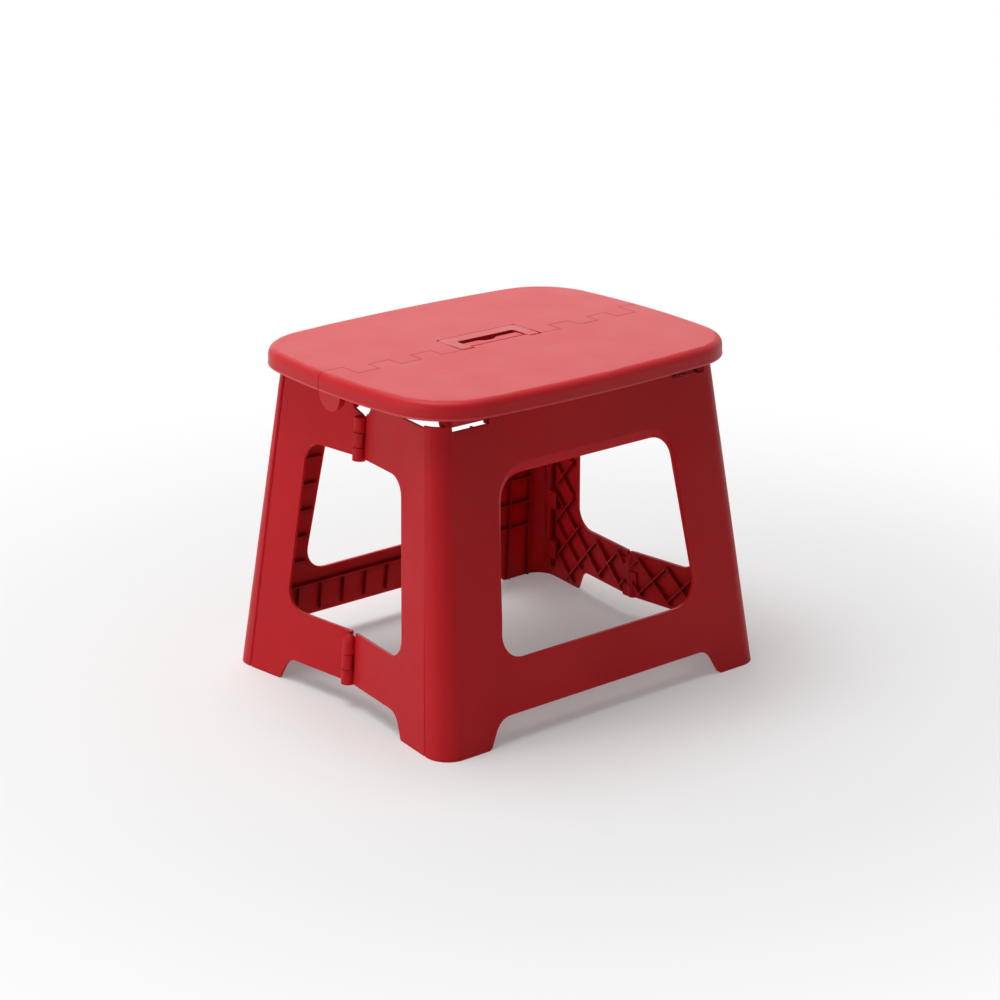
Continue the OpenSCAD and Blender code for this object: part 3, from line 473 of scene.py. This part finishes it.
class Finishes:
    """The stool's plastics, one for each material slot."""

    RED = (0.56, 0.012, 0.018)
    DEEP = (0.49, 0.008, 0.013)
    # Painted highlight for the edges of the pins and the lip.
    PAINTED_EDGE_HIGHLIGHT = (0.68, 0.05, 0.055)
    # Painted highlight: the lip's whole body paler than the seat's plastic, for the sheen along
    # its small round section.
    PAINTED_LIP_HIGHLIGHT = (0.64, 0.045, 0.05)
    # Painted shade for the edges and seams of seat, handle, panels and leaves.
    PAINTED_EDGE_SHADE = (0.26, 0.004, 0.007)

    def __init__(self) -> None:
        """Builds the shared effects and each material."""
        effects = SurfaceEffects()
        red, deep, light, edge_shade = self.RED, self.DEEP, self.PAINTED_EDGE_HIGHLIGHT, self.PAINTED_EDGE_SHADE
        # Seat, handle, panels and leaves take painted shade on their edges, the pins a painted
        # highlight.
        plastics = {
            Slot.SEAT: MouldedPlastic("Red seat plastic", red, deep, edge_shade, streak_share=0.15,
                                      painted_edge_share=0.7, edge_radius=0.0004, edge_reach=0.001,
                                      smooth=0.42, dull=0.46, gloss=0.22),
            Slot.HANDLE: MouldedPlastic("Red handle plastic", red, deep, edge_shade, painted_edge_share=0.5,
                                        edge_radius=0.0004, edge_reach=0.001, smooth=0.38,
                                        dull=0.44, gloss=0.26),
            Slot.PANEL: MouldedPlastic("Red panel plastic", red, deep, edge_shade, streak_scale=7.0,
                                       painted_edge_share=0.5, edge_radius=0.0004,
                                       edge_reach=0.0006, crevice_shade_share=0.9, glow=0.8),
            Slot.LEAF: MouldedPlastic("Red leaf plastic", red, deep, edge_shade, streak_scale=12.0,
                                      painted_edge_share=0.5, edge_radius=0.0004,
                                      edge_reach=0.0006, crevice_shade_share=0.9, glow=0.8),
            Slot.PIN: MouldedPlastic("Red pin plastic", red, deep, light, edge_radius=0.0003),
        }
        self._made = {slot: plastic.make(effects) for slot, plastic in plastics.items()}
        # The lip's body colour is a painted highlight, and its edges take a painted highlight
        # too.
        self.lip = MouldedPlastic("Red lip plastic", self.PAINTED_LIP_HIGHLIGHT, red, light, streak_share=0.3,
                                  smooth=0.34, dull=0.4, gloss=0.35, glow=0.0,
                                  edge_radius=0.0003).make(effects)

    def of(self, slot: Slot) -> bpy.types.Material:
        """Returns the material of a slot."""
        return self._made[slot]


def new_piece(name: str, mesh: bpy.types.Mesh) -> bpy.types.Object:
    """Links an object at the origin.

    Args:
        name: Name of the object and its mesh.
        mesh: Its mesh, placed in metres.

    Returns:
        The new object.
    """
    mesh.name = name
    piece = bpy.data.objects.new(name, mesh)
    bpy.context.scene.collection.objects.link(piece)
    return piece


def carrier(solid: bpy.types.Object) -> str:
    """Returns the name of the body that a solid rides on."""
    found = body_of(solid)
    return found if isinstance(found, str) else found[0]


def settle(piece: bpy.types.Object) -> None:
    """Turns a piece with modifiers into a plain mesh.

    Args:
        piece: Object whose modifiers are applied and removed.
    """
    ready = piece.evaluated_get(bpy.context.evaluated_depsgraph_get())
    mesh = bpy.data.meshes.new_from_object(ready)
    piece.modifiers.clear()
    piece.data = mesh
    mesh.name = piece.name


@dataclass(frozen=True)
class Groove:
    """A straight groove of V section, cut where two mouldings meet."""

    start: Point
    end: Point
    outward: Point
    half_width: float = 1.3 * MM

    def add_to(self, work: bmesh.types.BMesh) -> None:
        """Adds the square bar that cuts the groove, with a corner of its section pointing inward.

        Args:
            work: Mesh that takes the bar.
        """
        start, end = Vector(self.start), Vector(self.end)
        along = (end - start).normalized()
        out = Vector(self.outward)
        out = (out - along * out.dot(along)).normalized()
        across = along.cross(out)
        section = [spoke * self.half_width for spoke in (out, across, -out, -across)]
        near = [work.verts.new(start + spoke) for spoke in section]
        far = [work.verts.new(end + spoke) for spoke in section]
        faces = [work.faces.new(near), work.faces.new(far)]
        faces += [work.faces.new((near[i], near[i - 1], far[i - 1], far[i])) for i in range(4)]
        bmesh.ops.recalc_face_normals(work, faces=faces)


@dataclass
class MouldedShell:
    """One moulded part: a merged, smoothly shaded copy of its solid."""

    node: str
    slot: Slot
    grooves: tuple[Groove, ...] = ()
    crease: float = math.radians(32)
    flat: float = math.radians(0.05)
    weld: float = 1e-6

    def build(self, frame: dict[str, Any], finishes: Finishes) -> bpy.types.Object:
        """Copies the solid and dresses it.

        Args:
            finishes: The plastics.

        Returns:
            The piece, riding on the solid's body.
        """
        solid = frame["nodes"][self.node]
        mesh = solid.data.copy()
        mesh.materials.clear()
        work = bmesh.new()
        work.from_mesh(mesh)
        bmesh.ops.remove_doubles(work, verts=work.verts, dist=self.weld)
        bmesh.ops.dissolve_limit(work, angle_limit=self.flat, verts=work.verts, edges=work.edges)
        work.to_mesh(mesh)
        work.free()
        piece = new_piece(f"{self.node}_moulding", mesh)
        if self.grooves:
            self._cut(piece)
        self._smooth(piece.data)
        weighted = piece.modifiers.new("Flat faces stay flat", "WEIGHTED_NORMAL")
        weighted.mode = "FACE_AREA"
        weighted.keep_sharp = True
        settle(piece)
        piece.data.materials.append(finishes.of(self.slot))
        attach(piece, carrier(solid))
        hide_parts(self.node)
        LOG.info("%s: %d faces", piece.name, len(piece.data.polygons))
        return piece

    def _cut(self, piece: bpy.types.Object) -> None:
        """Cuts the grooves into the copy.

        Args:
            piece: The copy.
        """
        work = bmesh.new()
        for groove in self.grooves:
            groove.add_to(work)
        mesh = bpy.data.meshes.new("Groove bars")
        work.to_mesh(mesh)
        work.free()
        bars = new_piece(mesh.name, mesh)
        cut = piece.modifiers.new("Grooves", "BOOLEAN")
        cut.operation, cut.solver, cut.object = "DIFFERENCE", "EXACT", bars
        settle(piece)
        bpy.data.objects.remove(bars)

    def _smooth(self, mesh: bpy.types.Mesh) -> None:
        """Splits the faces into triangles and shades them smoothly up to the creases.

        Two triangles on the same corners are a fold of no thickness, and both go.

        Args:
            mesh: Mesh of the copy.
        """
        work = bmesh.new()
        work.from_mesh(mesh)
        bmesh.ops.triangulate(work, faces=work.faces, ngon_method="EAR_CLIP")
        twins: dict[frozenset[int], list[bmesh.types.BMFace]] = {}
        for face in work.faces:
            twins.setdefault(frozenset(vert.index for vert in face.verts), []).append(face)
        folds = [face for group in twins.values() if len(group) > 1 for face in group]
        bmesh.ops.delete(work, geom=folds, context="FACES")
        for edge in work.edges:
            edge.smooth = edge.calc_face_angle(math.pi) < self.crease
        for face in work.faces:
            face.smooth = True
        work.to_mesh(mesh)
        work.free()


class SweepTree:
    """Geometry node tree that sweeps a round section along the edges of a mesh."""

    SECTION = "section_radius"

    def __init__(self) -> None:
        """Builds the tree."""
        tree = bpy.data.node_groups.new("Round section on a path", "GeometryNodeTree")
        tree.is_modifier = True
        face = tree.interface
        face.new_socket("Geometry", in_out="INPUT", socket_type="NodeSocketGeometry")
        face.new_socket("Sides", in_out="INPUT", socket_type="NodeSocketInt")
        face.new_socket("Section scale", in_out="INPUT", socket_type="NodeSocketFloat")
        face.new_socket("Finish", in_out="INPUT", socket_type="NodeSocketMaterial")
        face.new_socket("Geometry", in_out="OUTPUT", socket_type="NodeSocketGeometry")
        given, out = add_node(tree, "NodeGroupInput"), add_node(tree, "NodeGroupOutput")
        path = add_node(tree, "GeometryNodeMeshToCurve")
        ring = add_node(tree, "GeometryNodeCurvePrimitiveCircle")
        radius = add_node(tree, "GeometryNodeInputNamedAttribute", data_type="FLOAT")
        radius.inputs["Name"].default_value = self.SECTION
        sweep = add_node(tree, "GeometryNodeCurveToMesh")
        smooth = add_node(tree, "GeometryNodeSetShadeSmooth")
        real = add_node(tree, "GeometryNodeRealizeInstances")
        dress = add_node(tree, "GeometryNodeSetMaterial")
        ring.inputs["Radius"].default_value = 1.0
        sweep.inputs["Fill Caps"].default_value = True
        feed(tree, given.outputs["Geometry"], path.inputs["Mesh"])
        feed(tree, given.outputs["Sides"], ring.inputs["Resolution"])
        scaled = maths(tree, "MULTIPLY", radius.outputs["Attribute"],
                       given.outputs["Section scale"])
        feed(tree, path.outputs["Curve"], sweep.inputs["Curve"])
        feed(tree, ring.outputs["Curve"], sweep.inputs["Profile Curve"])
        feed(tree, scaled, sweep.inputs["Scale"])
        feed(tree, sweep.outputs["Mesh"], smooth.inputs["Geometry"])
        feed(tree, smooth.outputs["Geometry"], real.inputs["Geometry"])
        feed(tree, real.outputs["Geometry"], dress.inputs["Geometry"])
        feed(tree, given.outputs["Finish"], dress.inputs["Material"])
        feed(tree, dress.outputs["Geometry"], out.inputs["Geometry"])
        self.tree = tree

    def sweep(self, name: str, paths: Iterable[tuple[list[Point], list[float]]], sides: int,
              finish: bpy.types.Material) -> bpy.types.Object:
        """Sweeps the section along open paths.

        Args:
            name: Name of the piece.
            paths: For each path its points and the section's radius at each, in metres.
            sides: Sides of the section.
            finish: Material of the result.

        Returns:
            A plain mesh object.
        """
        points: list[Point] = []
        edges: list[tuple[int, int]] = []
        radii: list[float] = []
        for path, sizes in paths:
            start = len(points)
            points.extend(path)
            radii.extend(sizes)
            edges.extend((start + i, start + i + 1) for i in range(len(path) - 1))
        mesh = bpy.data.meshes.new(name)
        mesh.from_pydata(points, edges, [])
        mesh.attributes.new(self.SECTION, "FLOAT", "POINT").data.foreach_set("value", radii)
        piece = new_piece(name, mesh)
        modifier = piece.modifiers.new("Sweep", "NODES")
        modifier.node_group = self.tree
        values = {"Sides": sides, "Section scale": 1.0, "Finish": finish}
        for item in self.tree.interface.items_tree:
            if item.in_out == "INPUT" and item.name in values:
                modifier[item.identifier] = values[item.name]
        settle(piece)
        return piece


@dataclass
class SeatLip:
    """The small rounded lip along the lower edge of the seat's rim."""

    half_len: float = 163 * MM
    half_wid: float = 128 * MM
    corner: float = 56 * MM
    long_bulge: float = 5 * MM
    short_bulge: float = 4.6 * MM
    rim_foot: float = 256 * MM
    section: float = 0.9 * MM
    rise: float = 0.9
    proud: float = 0.4 * MM
    ear_end: float = 13 * MM
    gap: float = 0.6 * MM
    steps: int = 24
    sides: int = 12

    def outline(self) -> list[tuple[float, float]]:
        """Lays the lip's centre line round the whole seat.

        Returns:
            The points of a closed ring, in metres, from the right end round by the back.
        """
        inset = self.section - self.proud
        hx, hy, r = self.half_len, self.half_wid, self.corner
        bend = r - inset
        long_turn = math.atan(2 * self.long_bulge / (hx - r))
        short_turn = math.atan(2 * self.short_bulge / (hy - r))
        cx = hx - self.short_bulge - r * math.cos(short_turn)
        cy = hy - self.long_bulge - r * math.cos(long_turn)
        xa, ya = cx + r * math.sin(long_turn), cy + r * math.sin(short_turn)
        quarter = []
        for i in range(self.steps + 1):
            t = i / self.steps
            quarter.append((hx - self.short_bulge * t * t - inset, ya * t))
        for i in range(1, self.steps):
            angle = short_turn + (math.pi / 2 - long_turn - short_turn) * i / self.steps
            quarter.append((cx + bend * math.cos(angle), cy + bend * math.sin(angle)))
        for i in range(self.steps + 1):
            t = 1 - i / self.steps
            quarter.append((xa * t, hy - self.long_bulge * t * t - inset))
        half = quarter + [(-x, y) for x, y in reversed(quarter[:-1])]
        return half + [(x, -y) for x, y in reversed(half[1:-1])]

    def run(self, side: Side) -> list[Point]:
        """Cuts the part of the outline that belongs to one seat half.

        Args:
            side: The seat half.

        Returns:
            The points of an open path, in metres.
        """
        ring = self.outline()
        edge = self.ear_end - self.gap if side is Side.FRONT else self.ear_end + self.gap
        ahead = [i for i, (_, y) in enumerate(ring) if (y - edge) * side.value > 0]
        first = next(i for i in ahead if (i - 1) % len(ring) not in ahead)
        kept = [ring[(first + i) % len(ring)] for i in range(len(ahead))]
        level = self.rim_foot + self.section * self.rise
        ends = (kept[0][0], edge), (kept[-1][0], edge)
        return [(x, y, level) for x, y in [ends[0], *kept, ends[1]]]

    def build(self, sweeper: SweepTree, finishes: Finishes) -> None:
        """Makes one lip for each seat half.

        Args:
            sweeper: The tree that sweeps it.
            finishes: The plastics.
        """
        for side, body in ((Side.FRONT, "seat_front_body"), (Side.BACK, "seat_back_body")):
            path = self.run(side)
            radii = [self.section] * len(path)
            name = f"{body.removesuffix('_body')}_lip"
            piece = sweeper.sweep(name, [(path, radii)], self.sides, finishes.lip)
            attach(piece, body)
            LOG.info("%s: %d faces", piece.name, len(piece.data.polygons))


@dataclass
class HingePins:
    """Moulded hinge pins with domed ends, one piece for each body that carries them."""

    corner_slope: tuple[float, float] = (0.08819, 0.10705)
    side_slope: float = 0.08268
    handle_stub: float = 12.7 * MM
    corner_radius: float = 1.5 * MM
    dome: float = 0.55
    tip: float = 0.05
    dome_steps: int = 4
    sides: int = 20

    def axis(self, node: str) -> Vector:
        """Finds the direction of a pin, which its name gives.

        Args:
            node: Name of the solid.

        Returns:
            The direction, of length 1.
        """
        left, back = "left" in node, "back" in node
        if node.startswith("corner_pin"):
            lean_x, lean_y = self.corner_slope
            slope = lean_x if left else -lean_x, -lean_y if back else lean_y
            return Vector((*slope, 1)).normalized()
        if node.startswith("side_pin"):
            return Vector((self.side_slope if left else -self.side_slope, 0, 1)).normalized()
        return Vector((1, 0, 0))

    def rods(self, node: str) -> list[tuple[Vector, Vector, float]]:
        """Finds the rods of a node from its box.

        Args:
            node: Name of the solid.

        Returns:
            For each rod its two ends and its radius, in metres.
        """
        low, high = (Vector(corner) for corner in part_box(node))
        centre, size = (low + high) / 2, high - low
        axis = self.axis(node)
        if axis.x > axis.z:
            radius = size.z / 2
            if node != "handle_pins":
                reach = Vector((size.x / 2, 0, 0))
                return [(centre - reach, centre + reach, radius)]
            stub = Vector((self.handle_stub, 0, 0))
            left, right = Vector((low.x, *centre.yz)), Vector((high.x, *centre.yz))
            return [(left, left + stub, radius), (right - stub, right, radius)]
        tilt = math.acos(axis.z)
        radius = size.y / 2 if node.startswith("side_pin") else self.corner_radius
        reach = axis * ((size.z - 2 * radius * math.sin(tilt)) / axis.z / 2)
        return [(centre - reach, centre + reach, radius)]

    def path(self, start: Vector, end: Vector, radius: float) -> tuple[list[Point], list[float]]:
        """Lays the points of one pin, closer together where its ends are domed.

        Args:
            start: One end.
            end: The other end.
            radius: Radius of the pin.

        Returns:
            The points and the radius at each.
        """
        along = (end - start).normalized()
        dome, tip = radius * self.dome, radius * self.tip
        stations: list[tuple[float, float]] = []
        for i in range(self.dome_steps + 1):
            angle = math.pi / 2 * i / self.dome_steps
            place, size = dome * (1 - math.cos(angle)), max(radius * math.sin(angle), tip)
            stations.append((place, size))
        length = (end - start).length
        stations += [(length - place, size) for place, size in reversed(stations)]
        return [tuple(start + along * place) for place, _ in stations], [s for _, s in stations]

    def build(self, frame: dict[str, Any], sweeper: SweepTree, finishes: Finishes) -> None:
        """Makes the pins of each body.

        Args:
            sweeper: The tree that sweeps them.
            finishes: The plastics.
        """
        carried: dict[str, list[str]] = {}
        for node, solid in frame["nodes"].items():
            if "_pin" in node:
                carried.setdefault(carrier(solid), []).append(node)
        for body, nodes in sorted(carried.items()):
            paths = [self.path(*rod) for node in sorted(nodes) for rod in self.rods(node)]
            piece = sweeper.sweep(f"{body}_pins", paths, self.sides, finishes.of(Slot.PIN))
            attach(piece, body)
            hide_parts(*nodes)
            LOG.info("%s: %d pins", piece.name, len(paths))


def corner_seams(overrun: float = 0.02) -> tuple[Groove, ...]:
    """Lays a groove in the gap between each wrapped corner and its leaf.

    Args:
        overrun: Share of the seam's length by which a groove passes each of its ends.

    Returns:
        The four grooves.
    """
    foot, head = Vector((164.5, 114.75, 0)) * MM, Vector((142.5, 88.17, 248.3)) * MM
    spare = (head - foot) * overrun
    seams = []
    for x in (-1, 1):
        for y in (-1, 1):
            turn = Vector((x, y, 1))
            seams.append(Groove(tuple((foot - spare) * turn), tuple((head + spare) * turn),
                                (float(x), 0.0, 0.0)))
    return tuple(seams)


class Stool:
    """The whole stool: seat, handle, end panels, side leaves, lip and pins."""

    SEAMS = corner_seams()
    GRIP_LINE = Groove((-28.6 * MM, -3 * MM, 270 * MM), (28.6 * MM, -3 * MM, 270 * MM),
                       outward=(0.0, 0.0, 1.0), half_width=0.9 * MM)
    SHELLS = (
        MouldedShell("seat_front", Slot.SEAT, (GRIP_LINE,)),
        MouldedShell("seat_back", Slot.SEAT),
        MouldedShell("pull_handle", Slot.HANDLE),
        MouldedShell("front_end_panel", Slot.PANEL, SEAMS),
        MouldedShell("back_end_panel", Slot.PANEL, SEAMS),
        MouldedShell("left_front_leaf", Slot.LEAF, SEAMS),
        MouldedShell("left_back_leaf", Slot.LEAF, SEAMS),
        MouldedShell("right_front_leaf", Slot.LEAF, SEAMS),
        MouldedShell("right_back_leaf", Slot.LEAF, SEAMS),
    )

    def build(self, frame: dict[str, Any], finishes: Finishes) -> None:
        """Builds every piece.

        Args:
            finishes: The plastics.
        """
        for shell in self.SHELLS:
            shell.build(frame, finishes)
        sweeper = SweepTree()
        SeatLip().build(sweeper, finishes)
        HingePins().build(frame, sweeper, finishes)


@dataclass(frozen=True)
class Viewpoint:
    """The camera of the photograph, solved from the stool's straight edges."""

    azimuth: float = math.radians(-39.497)
    elevation: float = math.radians(18.891)
    distance: float = 2.129
    lens: float = 95.66
    sensor: float = 36.0
    clip: tuple[float, float] = (0.05, 60.0)
    target: Point = (0.0035, 0.0, 0.1361)

    def place(self) -> None:
        """Makes the camera."""
        flat = math.cos(self.elevation)
        back = Vector((math.sin(self.azimuth) * flat, -math.cos(self.azimuth) * flat,
                       math.sin(self.elevation)))
        data = bpy.data.cameras.new("Camera")
        data.lens = self.lens
        data.sensor_width = self.sensor
        data.clip_start, data.clip_end = self.clip
        camera = bpy.data.objects.new("Camera", data)
        camera.location = Vector(self.target) + back * self.distance
        camera.rotation_mode = "QUATERNION"
        camera.rotation_quaternion = (-back).to_track_quat("-Z", "Y")
        bpy.context.scene.collection.objects.link(camera)
        bpy.context.scene.camera = camera


@dataclass(frozen=True)
class Softbox:
    """A square area lamp that looks at the stool."""

    name: str
    towards: Point
    distance: float
    side: float
    power: float
    aim: Point = (0.0, 0.0, 0.15)

    def place(self) -> None:
        """Makes the lamp."""
        data = bpy.data.lights.new(self.name, "AREA")
        data.shape, data.size, data.energy = "SQUARE", self.side, self.power
        lamp = bpy.data.objects.new(self.name, data)
        direction = Vector(self.towards).normalized()
        lamp.location = Vector(self.aim) + direction * self.distance
        lamp.rotation_mode = "QUATERNION"
        lamp.rotation_quaternion = (-direction).to_track_quat("-Z", "Y")
        bpy.context.scene.collection.objects.link(lamp)


@dataclass
class Studio:
    """Pale floor, white surroundings and soft light from above, behind and the left."""

    floor_radius: float = 9.0
    floor_sides: int = 96
    floor_tone: float = 0.9
    floor_rough: float = 0.9
    floor_gloss: float = 0.1
    lift: float = 0.2
    near: float = 0.2
    far: float = 0.8
    fill: float = 0.12
    lamps: tuple[Softbox, ...] = (
        Softbox("Overhead softbox", (-0.12, 0.16, 0.97), distance=2.4, side=1.7, power=51.0),
        Softbox("Low left softbox", (-1.0, 0.1, 0.25), distance=2.4, side=1.6, power=17.0),
        Softbox("Far softbox", (0.5, 0.8, 0.25), distance=2.6, side=1.8, power=9.0),
    )

    @staticmethod
    def _seen(tree: bpy.types.NodeTree) -> Any:
        """Tells the rays that show the surroundings from the rays that light the stool.

        Args:
            tree: Tree that takes the nodes.

        Returns:
            A socket that is 1 for camera, glossy and transmission rays.
        """
        path = add_node(tree, "ShaderNodeLightPath")
        either = maths(tree, "MAXIMUM", path.outputs["Is Camera Ray"],
                       path.outputs["Is Glossy Ray"])
        return maths(tree, "MAXIMUM", either, path.outputs["Is Transmission Ray"])

    def _world(self) -> None:
        """White to the eye and in reflections, and a dim plain fill for the rest."""
        world = bpy.data.worlds.new("Studio")
        world.use_nodes = True
        tree = world.node_tree
        shade = tree.nodes["Background"]
        shade.inputs["Color"].default_value = (1.0, 1.0, 1.0, 1.0)
        strength = add_node(tree, "ShaderNodeMix", data_type="FLOAT")
        for source, place in zip((self._seen(tree), self.fill, 1.0), MIX_NUMBER_INPUTS):
            feed(tree, source, strength.inputs[place])
        feed(tree, strength.outputs[MIX_NUMBER_OUTPUT], shade.inputs["Strength"])
        bpy.context.scene.world = world

    def _floor(self) -> None:
        """A pale disc that keeps the stool's shadow and fades into the white surroundings."""
        work = bmesh.new()
        bmesh.ops.create_circle(work, cap_ends=True, segments=self.floor_sides,
                                radius=self.floor_radius)
        mesh = bpy.data.meshes.new("Floor")
        work.to_mesh(mesh)
        work.free()
        floor = new_piece("Floor", mesh)
        material = bpy.data.materials.new("Pale floor")
        material.use_nodes = True
        tree = material.node_tree
        shader = tree.nodes["Principled BSDF"]
        tone = self.floor_tone
        shader.inputs["Base Color"].default_value = (tone, tone, tone, 1.0)
        shader.inputs["Roughness"].default_value = self.floor_rough
        shader.inputs["Specular IOR Level"].default_value = self.floor_gloss
        white = add_node(tree, "ShaderNodeEmission")
        where = add_node(tree, "ShaderNodeTexCoord").outputs["Object"]
        length = add_node(tree, "ShaderNodeVectorMath", operation="LENGTH")
        feed(tree, where, length.inputs[0])
        away = remap(tree, length.outputs["Value"], self.near, self.far, self.lift, 1.0)
        share = maths(tree, "MULTIPLY", away, self._seen(tree))
        mix = add_node(tree, "ShaderNodeMixShader")
        feed(tree, share, mix.inputs[0])
        tree.links.new(shader.outputs[0], mix.inputs[1])
        tree.links.new(white.outputs[0], mix.inputs[2])
        tree.links.new(mix.outputs[0], tree.nodes["Material Output"].inputs["Surface"])
        mesh.materials.append(material)

    def build(self) -> None:
        """Makes the floor, the lamps and the world."""
        self._world()
        self._floor()
        for lamp in self.lamps:
            lamp.place()
        bpy.context.scene.view_settings.view_transform = "Standard"


def main() -> None:
    """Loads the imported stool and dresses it."""
    logging.basicConfig(level=logging.INFO, format="%(name)s: %(message)s")
    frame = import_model()
    Viewpoint().place()
    Stool().build(frame, Finishes())
    Studio().build()


if __name__ == "__main__":
    main()
